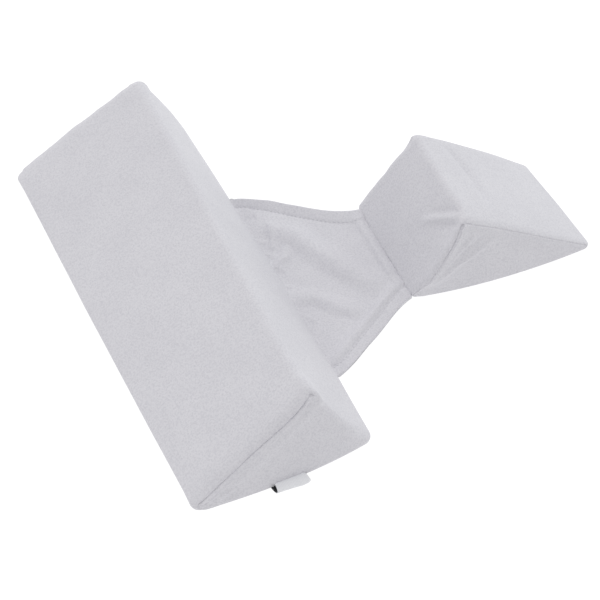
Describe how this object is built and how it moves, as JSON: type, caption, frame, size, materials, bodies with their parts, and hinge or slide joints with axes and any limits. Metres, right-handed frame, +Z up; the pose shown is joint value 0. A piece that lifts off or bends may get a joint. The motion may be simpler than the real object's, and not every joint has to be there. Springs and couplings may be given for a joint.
{
  "type": "side sleep pillow",
  "caption": "Baby side sleep pillow: a long and a short terry-covered foam wedge, steep faces towards each other, joined at the floor by a soft hemmed cloth bridge.",
  "frame": {"origin": "middle of the whole pillow's footprint, on the surface that it lies on", "axes": "+X from the large wedge to the small wedge, +Y along the large wedge's ridge from the labelled end to the plain end, +Z up from the surface"},
  "size_m": [0.3545, 0.3502, 0.061],
  "materials": {
    "terry_cover": "short terry pile, matt, pale cool grey",
    "terry_bridge": "short terry pile, matt, pale cool grey",
    "woven_label": "smooth satin-woven tape, pale grey"
  },
  "bodies": {
    "root": {"large_wedge": "terry_cover", "small_wedge": "terry_cover", "bridge_panel": "terry_bridge", "side_label": "woven_label"}
  },
  "joints": []
}
